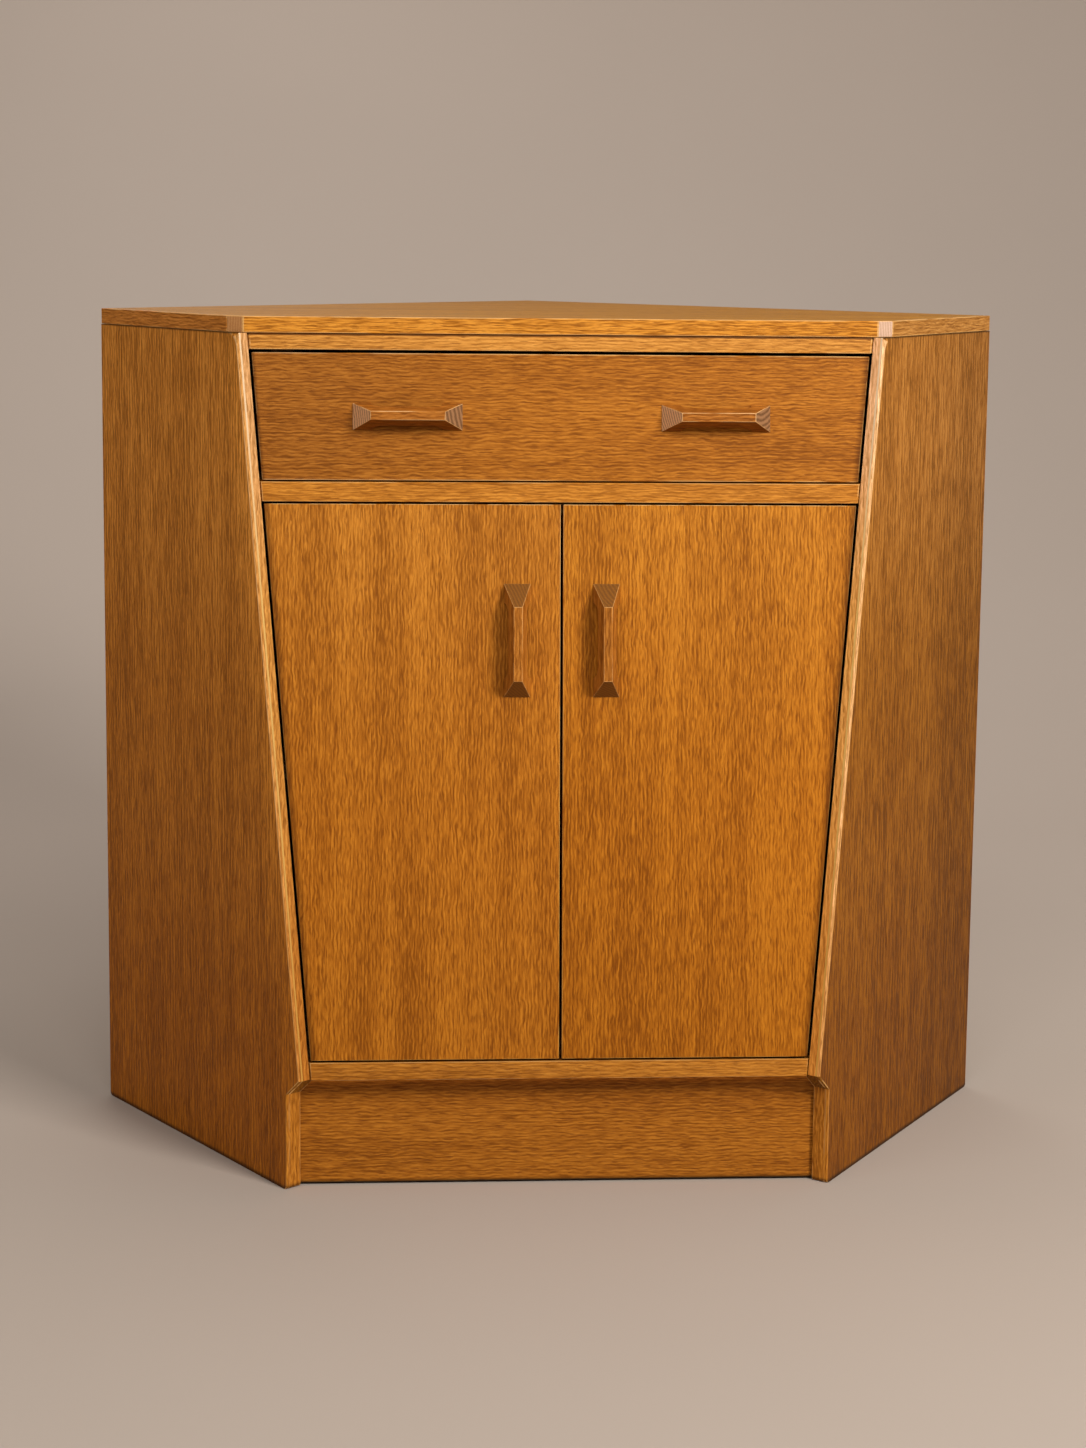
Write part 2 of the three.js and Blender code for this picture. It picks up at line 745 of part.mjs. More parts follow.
function addDrawerFront(parent) {
  const backTop = drawerTop - frontThickness * Math.sin(leanAngle);
  const profile = [
    [frontY(drawerBottom), drawerBottom],
    [frontBackY(drawerBottom), drawerBottom],
    [frontBackY(backTop), backTop],
    [frontY(drawerTop), drawerTop],
  ];
  const handleZ = (drawerTop + drawerBottom) / 2;
  const holes = sides.flatMap(({ name, side }) => {
    const x = side * (memberHalfWidth(drawerBottom) - drawerHandleInset);
    return addHandle(parent, `drawer_${name}_handle`, x, handleZ, drawerHandle);
  });
  const front = spanningMember(profile, memberHalfWidth);
  addPiece(parent, 'drawer_front', cut(front, holes), drawerVeneer);
}

function addDrawerBox(parent) {
  const inner = boxHalfWidth - boxSideThickness;
  const bottomUnderside = drawerBottom + boxBottomHeight;
  const bottomTop = bottomUnderside + boxBottomThickness;
  const groove = {
    low: bottomUnderside - jointGap,
    high: bottomTop + jointGap,
  };
  for (const { name, side } of sides) {
    const profile = [
      new THREE.Vector2(frontBackY(drawerBottom) + jointGap, drawerBottom),
      new THREE.Vector2(boxBackY, drawerBottom),
      new THREE.Vector2(boxBackY, boxSideTop),
      new THREE.Vector2(frontBackY(boxSideTop) + jointGap, boxSideTop),
    ];
    const section = (x) => profile.map((point) => new THREE.Vector3(side * x, point.x, point.y));
    const board = loft([section(inner), section(boxHalfWidth)], profile);
    const edges = [side * (inner - overrun), side * (inner + grooveDepth)].sort((a, b) => a - b);
    const grooveCut = box(
      new THREE.Vector3(edges[0], frontY(0) - overrun, groove.low),
      new THREE.Vector3(edges[1], boxBackY + overrun, groove.high),
    );
    addPiece(parent, `drawer_${name}_side`, cut(board, [grooveCut]), innerBoard);
  }
  const bottomHalf = inner + grooveDepth - jointGap;
  const bottomProfile = [
    new THREE.Vector2(frontBackY(bottomUnderside) + jointGap, bottomUnderside),
    new THREE.Vector2(boxBackY, bottomUnderside),
    new THREE.Vector2(boxBackY, bottomTop),
    new THREE.Vector2(frontBackY(bottomTop) + jointGap, bottomTop),
  ];
  const bottomSection = (x) => bottomProfile.map((point) => new THREE.Vector3(x, point.x, point.y));
  const bottom = loft([bottomSection(-bottomHalf), bottomSection(bottomHalf)], bottomProfile);
  addPiece(parent, 'drawer_bottom', bottom, innerBoard);
  const back = box(
    new THREE.Vector3(-inner + jointGap, boxBackY - boxSideThickness, bottomTop + jointGap),
    new THREE.Vector3(inner - jointGap, boxBackY, boxSideTop - boxBackDrop),
  );
  addPiece(parent, 'drawer_back', back, innerBoard);
}

// Doors and their pivots. The pivot axis is parallel to the door's outer edge.
const edgeTilt = Math.atan(
  ((memberHalfWidth(doorTop) - memberHalfWidth(doorBottom)) / (doorTop - doorBottom)) * Math.cos(leanAngle),
);

// A pin along the pivot axis, standing on the XY plane at the pivot of a plate
function pivotPin(radius, start, end, z, side, direction) {
  const geometry = new THREE.CylinderGeometry(radius, radius, end - start, roundSides);
  geometry.rotateX(Math.PI / 2);
  geometry.translate(0, 0, (start + end) / 2);
  geometry.rotateY(direction * edgeTilt);
  geometry.translate(-(pivotInset - pivotPlateInset), 0, 0);
  return placeAtPivot(geometry, z, side, direction);
}

function addPivots(carcase, door, name, side) {
  const places = [
    { level: 'upper', railZ: middleRailUnderside, doorZ: doorTop, direction: 1 },
    { level: 'lower', railZ: bottomRailTop, doorZ: doorBottom, direction: -1 },
  ];
  const doorCuts = [];
  for (const { level, railZ, doorZ, direction } of places) {
    const low = new THREE.Vector3(-pivotPlateLength, -pivotPlateWidth / 2, jointGap);
    const high = new THREE.Vector3(0, pivotPlateWidth / 2, pivotPlateThickness);
    const reach = doorGap + pivotPlateThickness + pinReach;
    const fixedPlate = placeAtPivot(box(low, high), railZ, side, direction);
    const pin = pivotPin(pinRadius, -reach, pivotPlateThickness, railZ, side, direction);
    addPiece(carcase, `${name}_${level}_pivot`, join([fixedPlate, pin]), steel);

    const socketPlate = placeAtPivot(box(low, high), doorZ, side, -direction);
    const bore = pinRadius + pinClearance;
    const socketBore = pivotPin(bore, -overrun, overrun, doorZ, side, -direction);
    addPiece(door, `${name}_door_${level}_socket`, cut(socketPlate, [socketBore]), steel);

    const boreDepth = pivotPlateThickness + pinReach + jointGap;
    doorCuts.push(pivotPocket(doorZ, side, -direction));
    doorCuts.push(pivotPin(bore, -overrun, boreDepth, doorZ, side, -direction));
  }
  return doorCuts;
}

function doorGeometry(side) {
  const free = centreGap / 2;
  const corners = [
    [free, doorBottom],
    [memberHalfWidth(doorBottom), doorBottom],
    [memberHalfWidth(doorTop), doorTop],
    [free, doorTop],
  ];
  const outline = corners.map(([x, z]) => new THREE.Vector2(side * x, z));
  const inward = new THREE.Vector3(0, Math.cos(leanAngle), -Math.sin(leanAngle));
  const face = (depth) => corners.map(([x, z]) => (
    new THREE.Vector3(side * x, frontY(z), z).addScaledVector(inward, depth)
  ));
  return loft([face(0), face(frontThickness)], outline);
}

function addCatch(parent) {
  const front = frontThickness + 2 * jointGap + strikeThickness;
  const low = new THREE.Vector3(-catchWidth / 2, front, -catchHeight - jointGap);
  const high = new THREE.Vector3(catchWidth / 2, front + catchDepth, -jointGap);
  const body = box(low, high).rotateX(-leanAngle);
  body.translate(0, frontY(middleRailUnderside), middleRailUnderside);
  addPiece(parent, 'door_catch', body, steel);
}

function strikeGeometry(side) {
  const edges = [side * (catchWidth / 2 - strikeWidth), side * catchWidth / 2].sort((a, b) => a - b);
  const back = frontThickness + jointGap;
  const drop = doorGap + jointGap;
  const low = new THREE.Vector3(edges[0], back, -catchHeight - drop);
  const high = new THREE.Vector3(edges[1], back + strikeThickness, -drop);
  const strike = box(low, high).rotateX(-leanAngle);
  return strike.translate(0, frontY(middleRailUnderside), middleRailUnderside);
}

function addDoor(carcase, door, name, side) {
  const x = side * (centreGap / 2 + doorHandleInset);
  const z = doorTop - doorHandleDrop;
  const handleHoles = addHandle(door, `${name}_door_handle`, x, z, doorHandle);
  const pivotCuts = addPivots(carcase, door, name, side);
  const panel = cut(doorGeometry(side), [...handleHoles, ...pivotCuts]);
  addPiece(door, `${name}_door_panel`, panel, doorVeneer);
  addPiece(door, `${name}_door_strike`, strikeGeometry(side), steel);
}

// Assembly, moved so that the origin is under the middle of its box
function buildCupboard() {
  const cupboard = new THREE.Group();
  const carcase = new THREE.Group();
  const drawer = new THREE.Group();
  cupboard.add(carcase, drawer);
  addTop(carcase);
  addSidePanels(carcase);
  addBack(carcase);
  addBoards(carcase);
  addRails(carcase);
  addPlinth(carcase);
  addBattens(carcase);
  addDrawerWays(carcase);
  addCatch(carcase);
  addDrawer(drawer);
  for (const { name, side } of sides) {
    const door = new THREE.Group();
    cupboard.add(door);
    addDoor(carcase, door, name, side);
  }
  const foremostY = panelPlan(1, edgeLength(notchTop), edgeBevel).y;
  cupboard.position.y = -(foremostY + apexY) / 2;
  return cupboard;
}

export default buildCupboard();
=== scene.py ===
import json
import math

import bmesh
import bpy
from mathutils import Matrix, Vector


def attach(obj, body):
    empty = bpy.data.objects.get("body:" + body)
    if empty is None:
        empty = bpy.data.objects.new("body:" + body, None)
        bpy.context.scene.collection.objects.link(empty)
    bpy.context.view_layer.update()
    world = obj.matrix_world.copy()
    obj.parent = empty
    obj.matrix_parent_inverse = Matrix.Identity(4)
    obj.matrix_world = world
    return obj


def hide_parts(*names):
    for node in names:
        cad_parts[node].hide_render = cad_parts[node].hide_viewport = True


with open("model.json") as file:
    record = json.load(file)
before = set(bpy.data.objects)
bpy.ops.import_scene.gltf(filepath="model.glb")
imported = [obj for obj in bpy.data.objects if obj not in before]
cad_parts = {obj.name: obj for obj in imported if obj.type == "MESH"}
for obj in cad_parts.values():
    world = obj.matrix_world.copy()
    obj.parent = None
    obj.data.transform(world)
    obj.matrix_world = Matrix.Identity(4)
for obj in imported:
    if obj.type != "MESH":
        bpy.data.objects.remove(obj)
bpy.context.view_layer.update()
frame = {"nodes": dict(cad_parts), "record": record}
print("frame loaded:", len(frame["nodes"]), "nodes")

returnAngle = math.radians(54)   # side panels to the front
leanSlope = 0.1191               # how far the front comes forward for each metre down
edgeSlope = 0.0866               # how far each sloping edge goes outward for each metre up
sides = ((-1, "left"), (1, "right"))   # the sign of x there, and the word in names


def addObject(name, data):
    added = bpy.data.objects.new(name, data)
    bpy.context.scene.collection.objects.link(added)
    return added


# Shader maths: a Value is a socket that can be used in a Python expression

class Value:
    def __init__(self, shader, socket):
        self.shader = shader
        self.socket = socket

    def math(self, operation, first, second):
        return self.shader.node("ShaderNodeMath", {"operation": operation}, {0: first, 1: second})

    def __add__(self, other):
        return self.math("ADD", self, other)

    def __radd__(self, other):
        return self.math("ADD", other, self)

    def __sub__(self, other):
        return self.math("SUBTRACT", self, other)

    def __rsub__(self, other):
        return self.math("SUBTRACT", other, self)

    def __mul__(self, other):
        return self.math("MULTIPLY", self, other)

    def __rmul__(self, other):
        return self.math("MULTIPLY", other, self)


class Shader:
    def __init__(self, name):
        self.material = bpy.data.materials.new(name)
        self.material.use_nodes = True
        self.tree = self.material.node_tree
        self.surface = self.tree.nodes["Principled BSDF"]

    # Adds a node, sets it up, then fills its sockets with values or links
    def node(self, kind, settings, sockets, output=0):
        node = self.tree.nodes.new(kind)
        for key, setting in settings.items():
            if key == "stops":
                self.setStops(node.color_ramp, setting)
            else:
                setattr(node, key, setting)
        for key, value in sockets.items():
            self.feed(node.inputs[key], value)
        return Value(self, node.outputs[output])

    def setStops(self, ramp, stops):
        while len(ramp.elements) < len(stops):
            ramp.elements.new(1)
        for element, (place, colour) in zip(ramp.elements, stops):
            element.position = place
            element.color = colour if len(colour) == 4 else (*colour, 1)

    def feed(self, socket, value):
        if isinstance(value, Value):
            self.tree.links.new(value.socket, socket)
        else:
            socket.default_value = value

    def noise(self, vector, scale, detail=2, roughness=0.5, output=0):
        sockets = {"Vector": self.stretch(vector, scale), "Scale": 1, "Detail": detail,
                   "Roughness": roughness}
        return self.node("ShaderNodeTexNoise", {}, sockets, output)

    def position(self, axis=None):
        place = self.node("ShaderNodeTexCoord", {}, {}, "Object")
        return self.node("ShaderNodeSeparateXYZ", {}, {0: place}, axis) if axis else place

    def along(self, place, direction):
        return self.node("ShaderNodeVectorMath", {"operation": "DOT_PRODUCT"}, {0: place, 1: direction}, 1)

    def stretch(self, vector, scale):
        return self.node("ShaderNodeMapping", {}, {"Vector": vector, "Scale": scale})

    # A smooth step from 0 at low to 1 at high
    def step(self, value, low, high):
        settings = {"interpolation_type": "SMOOTHSTEP"}
        sockets = {"Value": value, "From Min": low, "From Max": high}
        return self.node("ShaderNodeMapRange", settings, sockets)

    def mix(self, factor, first, second, blend="MIX"):
        settings = {"data_type": "RGBA", "blend_type": blend}
        sockets = {0: factor, 6: rgba(first), 7: rgba(second)}
        return self.node("ShaderNodeMix", settings, sockets, 2)

    def finish(self, colour, roughness, height, bumpDistance):
        self.feed(self.surface.inputs["Base Color"], colour)
        self.feed(self.surface.inputs["Roughness"], roughness)
        bump = self.node("ShaderNodeBump", {}, {"Strength": 1, "Distance": bumpDistance, "Height": height})
        self.feed(self.surface.inputs["Normal"], bump)
        return self.material

    # Leaves the surface clear where it is seen from behind
    def clearBehind(self):
        behind = self.node("ShaderNodeNewGeometry", {}, {}, "Backfacing")
        clear = self.node("ShaderNodeBsdfTransparent", {}, {})
        surface = Value(self, self.surface.outputs[0])
        both = self.node("ShaderNodeMixShader", {}, {0: behind, 1: surface, 2: clear})
        self.feed(self.tree.nodes["Material Output"].inputs["Surface"], both)


def rgba(colour):
    if isinstance(colour, Value):
        return colour
    return (*colour, 1)


# Oak, with its grain along one direction of the object

upright = (0, 0, 1)
level = (1, 0, 0)
leaning = (0, leanSlope, 1)
leftward = (-1, 0, 0)
downward = (0, 0, -1)

oak = {
    "rippleSpacing": 0.0034,            # between the fine wavy lines, across the grain
    "rippleContrast": 0.34,
    "rippleDrift": 9.0,
    "rippleFade": (0.3, 0.6),           # the noise's range, from no ripples to full ones
    "driftWidth": 0.006,
    "driftLength": 0.010,
    "streakWidth": 0.0012,
    "streakLength": 0.016,
    "streakContrast": 1.0,
    "lineWidth": 0.0010,
    "lineLength": 0.015,
    "lineStrength": 0.70,
    "lineRange": (0.40, 0.29),          # the noise's range, from no line to a dark one
    "bandWidth": 0.024,
    "bandLength": 0.45,
    "bandContrast": 0.45,
    "poreWidth": 0.0004,
    "poreLength": 0.005,
    "poreStrength": 0.35,
    "poreRange": (0.38, 0.28),
    "waveLength": 0.028,
    "waveSize": 0.0028,
    "toneShares": (0.25, 0.50, 0.78),   # of the way to the palest, where the wood is dark, plain and pale
    "darkShares": (0.60, 0.54, 0.40),   # of the base colour, in the darkest streaks
    "paleShares": (1.38, 1.54, 1.90),   # and in the palest
    "lineShares": (0.50, 0.40, 0.28),
    "grainDepth": 0.0002,
    "streakHeightShare": 0.3,           # of the grain's depth
    "rippleHeightShare": 0.3,
    "lineDepthShare": 0.6,
    "poreDepthShare": 0.4,
    "roughness": 0.38,
    "streakDullness": 0.16,             # added to the roughness
    "lineDullness": 0.12,
    "shine": 0.12,
    "wornColour": (0.80, 0.47, 0.17),
    "wear": 0.7,
    "rubbedScale": (90, 90, 25),
    "rubbed": (0.34, 0.56),             # the noise's range, from no pale arris to a full one
    "across": None,                     # the direction on the face that crosses the grain
    "tints": (),                        # each a direction, where it starts and ends, and a colour; mostly painted light and shade
    "seed": 0,
    "seedShift": (0.37, 0.23, 0.61),    # how far the grain moves from one seed to the next
}


def grainPlace(shader, look, turn):
    place = shader.position()
    offset = [shift * look["seed"] for shift in look["seedShift"]]
    return shader.node("ShaderNodeMapping", {},
                       {"Vector": place, "Rotation": turn.to_euler(), "Location": offset})


# Moves the grain a little from side to side as it runs
def sway(shader, place, length, size):
    noise = shader.noise(place, (1 / length,) * 3, detail=1, output="Color")
    middled = shader.node("ShaderNodeVectorMath", {"operation": "SUBTRACT"}, {0: noise, 1: (0.5, 0.5, 0.5)})
    return shader.node("ShaderNodeVectorMath", {"operation": "MULTIPLY_ADD"},
                       {0: middled, 1: (size, size, 0), 2: place})


def grainNoise(shader, place, width, length):
    return shader.noise(place, (1 / width, 1 / width, 1 / length), detail=1, roughness=0.55)


# Fine wavy lines side by side, from 0 to 1, that fade in and out along the grain
def ripples(shader, place, look, across):
    phase = shader.along(place, across) * (2 * math.pi / look["rippleSpacing"])
    drift = grainNoise(shader, place, look["driftWidth"], look["driftLength"])
    waves = shader.node("ShaderNodeMath", {"operation": "SINE"}, {0: drift * look["rippleDrift"] + phase})
    patches = grainNoise(shader, place, look["driftWidth"] / 2, look["driftLength"])
    strength = shader.step(patches, *look["rippleFade"])
    return waves * strength * 0.5 + 0.5


def oakMaterial(name, colour, grain, **changes):
    look = {**oak, **changes}
    shader = Shader(name)
    turn = Vector(grain).rotation_difference(Vector(upright))
    across = look["across"] or (level if grain[2] else upright)
    straight = grainPlace(shader, look, turn)
    waving = sway(shader, straight, look["waveLength"], look["waveSize"])

    fine = ripples(shader, waving, look, turn @ Vector(across))
    streaks = grainNoise(shader, waving, look["streakWidth"], look["streakLength"])
    lines = grainNoise(shader, waving, look["lineWidth"], look["lineLength"])
    bands = grainNoise(shader, waving, look["bandWidth"], look["bandLength"])
    pores = grainNoise(shader, waving, look["poreWidth"], look["poreLength"])
    pores = shader.step(pores, *look["poreRange"])
    darkLines = shader.step(lines, *look["lineRange"])

    tone = (streaks - 0.5) * look["streakContrast"] + (bands - 0.5) * look["bandContrast"]
    tone = (fine - 0.5) * look["rippleContrast"] + tone + 0.5
    dark = shaded(colour, look["darkShares"])
    pale = shaded(colour, look["paleShares"])
    stops = list(zip(look["toneShares"], (dark, colour, pale)))
    wood = shader.node("ShaderNodeValToRGB", {"stops": stops}, {"Fac": tone})
    inLines = shaded(colour, look["lineShares"])
    wood = shader.mix(darkLines * look["lineStrength"], wood, inLines)
    wood = shader.mix(pores * look["poreStrength"], wood, inLines)

    # Worn arrises, rubbed pale in stretches; on the sloping edges and the level handles the pale is also a
    # painted highlight
    arris = shader.node("ShaderNodeAttribute", {"attribute_name": "wear"}, {}, "Fac")
    rubbed = shader.noise(straight, look["rubbedScale"], detail=2, roughness=0.6)
    rubbed = shader.step(rubbed, *look["rubbed"])
    wood = shader.mix(arris * rubbed * look["wear"], wood, look["wornColour"])
    # Tints multiply the colour along a direction; most of them are painted light and shade
    for direction, start, end, tint in look["tints"]:
        veil = shader.step(shader.along(shader.position(), direction), start, end)
        wood = shader.mix(veil, wood, tint, "MULTIPLY")

    dullness = streaks * look["streakDullness"] + darkLines * look["lineDullness"] + look["roughness"]
    height = streaks * look["streakHeightShare"] + fine * look["rippleHeightShare"]
    height = height - darkLines * look["lineDepthShare"] - pores * look["poreDepthShare"]
    shader.surface.inputs["Specular IOR Level"].default_value = look["shine"]
    return shader.finish(wood, dullness, height, look["grainDepth"])


def shaded(colour, shares):
    return tuple(channel * share for channel, share in zip(colour, shares))


# Sawn ends, plywood and softwood inside, and metal

endGrain = {
    "ringSpacing": 0.0024,
    "ringCentre": (0.25, -0.35, 0.75),
    "ringScale": 0.31,       # the texture's own, for rings one metre apart
    "ringDistortion": 5,
    "ringDetail": 2,
    "ringDetailScale": 0.4,
    "fleckSize": 0.0012,
    "fleckStrength": 0.8,
    "darkening": 0.1,
    "roughness": 0.42,
    "ringDullness": 0.1,     # added to the roughness
    "ringHeightShare": 0.5,  # of the depth
    "depth": 0.0001,
}


def endGrainMaterial(name, dark, pale, wear, ringStrength=0.45):
    shader = Shader(name)
    place = shader.position()
    moved = shader.node("ShaderNodeVectorMath", {"operation": "SUBTRACT"},
                        {0: place, 1: endGrain["ringCentre"]})
    rings = shader.node("ShaderNodeTexWave", {"wave_type": "RINGS", "rings_direction": "SPHERICAL"},
                        {"Vector": moved, "Scale": endGrain["ringScale"] / endGrain["ringSpacing"],
                         "Distortion": endGrain["ringDistortion"], "Detail": endGrain["ringDetail"],
                         "Detail Scale": endGrain["ringDetailScale"]}, 1)
    flecks = shader.noise(place, (1 / endGrain["fleckSize"],) * 3, detail=2, roughness=0.6)
    tone = rings * ringStrength + flecks * endGrain["fleckStrength"] - endGrain["darkening"]
    wood = shader.mix(tone, dark, pale)
    arris = shader.node("ShaderNodeAttribute", {"attribute_name": "wear"}, {}, "Fac")
    wood = shader.mix(arris * wear, wood, oak["wornColour"])
    shader.surface.inputs["Specular IOR Level"].default_value = oak["shine"]
    dullness = rings * endGrain["ringDullness"] + endGrain["roughness"]
    height = rings * endGrain["ringHeightShare"] + flecks
    return shader.finish(wood, dullness, height, endGrain["depth"])


metal = {
    "scuffScale": (900, 120, 900),
    "scuffDullness": 0.25,       # added to the roughness
    "stainScale": (60, 60, 60),
    "stainRange": (0.45, 0.75),
    "stainShares": (0.6, 0.6, 0.6),
    "depth": 0.00003,
}


def metalMaterial(name, colour, roughness):
    shader = Shader(name)
    place = shader.position()
    scuffs = shader.noise(place, metal["scuffScale"], detail=3, roughness=0.6)
    stain = shader.noise(place, metal["stainScale"], detail=3, roughness=0.6)
    stain = shader.step(stain, *metal["stainRange"])
    stained = shader.mix(stain, colour, shaded(colour, metal["stainShares"]))
    shader.surface.inputs["Metallic"].default_value = 1
    return shader.finish(stained, scuffs * metal["scuffDullness"] + roughness, scuffs, metal["depth"])


# The direction forwards along a side panel, level
def alongReturn(side):
    return (-side * math.cos(returnAngle), -math.sin(returnAngle), 0)


def alongSlopingEdge(side):
    return (side * edgeSlope, leanSlope, 1)


# The direction across a sloping edge, in the plane of the front
def offSlopingEdge(side):
    return (side, 0, -edgeSlope)


# Each tint is a direction, where along it the tint starts and ends, and a colour that it multiplies by
# Most tints paint light and shade: darker lower down, shadows at the floor, under the top and beside gaps,
# and a lift where a shadow falls
tints = {
    "sides": [
        # Painted shade: darker and warmer towards the bottom, where less light falls
        (upright, 0.68, 0.35, (0.80, 0.72, 0.48)),
        (upright, 0.35, 0.10, (0.81, 0.73, 0.34)),
        # Painted shadow: the lowest few millimetres dark, where the panels meet the floor
        (upright, 0.005, 0.001, (0.25, 0.25, 0.25)),
        # Painted shadow: the uppermost millimetre or two dark, under the top's edge
        (upright, 0.7535, 0.7550, (0.40, 0.40, 0.40)),
    ],
    "leftSide": [(offSlopingEdge(-1), 0.225, 0.245, (0.84, 0.81, 0.76))],
    "rightSide": [
        # Painted shade: the right panel darker again towards the bottom
        (upright, 0.66, 0.40, (0.92, 0.89, 0.62)),
        (level, 0.30, 0.42, (0.84, 0.85, 0.95)),
    ],
    "doors": [
        # Painted shade: darker towards the bottom, where less light falls
        (upright, 0.62, 0.32, (0.89, 0.81, 0.55)),
        (upright, 0.32, 0.12, (0.94, 0.94, 0.88)),
        # Painted shade: the doors' bottom edge dark, over the gap to the bottom rail
        (upright, 0.1225, 0.1195, (0.40, 0.35, 0.30)),
    ],
    "drawer": [(level, 0.02, -0.27, (0.81, 0.81, 1.00))],
    # Painted shadow: the top rail's uppermost millimetre dark under the top's front edge
    "topRail": [(upright, 0.7530, 0.7540, (0.28, 0.22, 0.16))],
    # Painted shade: the rails darker towards the bottom
    "rails": [(upright, 0.68, 0.12, (0.80, 0.78, 0.76))],
    "plinth": [
        # Painted light: the plinth's upper strip, which the bottom rail shades, is left lighter and the
        # rest darkened
        (upright, 0.1000, 0.0885, (0.60, 0.60, 0.60)),
        # Painted shadow: the lowest few millimetres dark at the floor
        (upright, 0.0060, 0.002, (0.1, 0.1, 0.1)),
    ],
    # Painted shade: the level handles' lower part and bottom arris darker, away from the light above
    "drawerHandles": [(upright, 0.6832, 0.6812, (0.62, 0.54, 0.42))],
    "slopingEdges": [
        # Painted shade: the sloping edges darker and warmer lower down
        (upright, 0.72, 0.50, (0.88, 0.74, 0.36)),
        (upright, 0.50, 0.12, (0.82, 0.66, 0.42)),
    ],
    "bevels": [
        # Painted shade: the bevels darker and warmer lower down
        (upright, 0.72, 0.50, (1.00, 0.95, 0.85)),
        (upright, 0.50, 0.12, (0.82, 0.70, 0.50)),
    ],
    # Painted shadow: the feet's lowest few millimetres dark at the floor
    "feet": [(upright, 0.006, 0.001, (0.3, 0.3, 0.3))],
}
gapShade = {
    "colour": (0.44, 0.40, 0.30),   # painted shade on the doors and the drawer front, close to the sloping edges, beside the gaps
    "place": 0.2090,                # half the front's width at the floor, at the gaps
    "doorReach": 0.008,
    "drawerLeftReach": 0.004,
    "drawerRightReach": 0.007,
}


# A painted shade on a front piece, fading in towards the gap by a sloping edge
def gapTint(side, reach):
    place = gapShade["place"]
    return (offSlopingEdge(side), place - gapShade[reach], place, gapShade["colour"])


# Changes to the oak for some of the pieces
sidePanel = {
    "streakLength": 0.032,
    "lineLength": 0.028,
    "waveSize": 0.0022,
    "lineStrength": 0.75,
    "darkShares": (0.60, 0.58, 0.48),
}
leftPanel = {
    "rippleSpacing": 0.0046,
    "streakWidth": 0.0017,
    "lineWidth": 0.0014,
    "streakContrast": 1.1,
    "tints": tints["sides"] + tints["leftSide"],
}
rightPanel = {
    "rippleSpacing": 0.0056,
    "streakWidth": 0.0023,
    "lineWidth": 0.0017,
    "streakContrast": 1.3,
    "tints": tints["sides"] + tints["rightSide"],
}
door = {"wear": 0.9, "bandContrast": 0.6}
straighter = {
    "waveSize": 0.0018,
    "streakLength": 0.018,
    "lineLength": 0.014,
    "rippleContrast": 0.24,
}
plywood = {
    "lineStrength": 0.15,
    "streakWidth": 0.004,
    "streakLength": 0.05,
    "streakContrast": 0.9,
    "roughness": 0.50,
    "wear": 0.2,
    "darkShares": (0.78, 0.74, 0.68),
    "paleShares": (1.14, 1.20, 1.30),
}
# The sloping edges: the pale strips are painted highlights as well as worn wood, and their tints paint
# shade lower down
edgeWearAndHighlight = {
    "wornColour": (0.81, 0.60, 0.37),
    "wear": 1.0,
    "rubbed": (0.15, 0.30),
    "lineStrength": 0.25,
    "streakContrast": 0.7,
    "tints": tints["slopingEdges"],
}
# The bevels on the sloping edges: pale strips that are painted highlights as well as worn wood, with
# painted shade lower down
bevelWearAndHighlight = {
    "wornColour": (0.80, 0.46, 0.20),
    "rubbed": (0.22, 0.36),
    "lineStrength": 0.4,
    "tints": tints["bevels"],
}
# The feet: worn arrises, and a painted shadow at the floor from their tints
footWearAndShadow = {"wornColour": (0.66, 0.32, 0.09), "wear": 0.5, "tints": tints["feet"]}

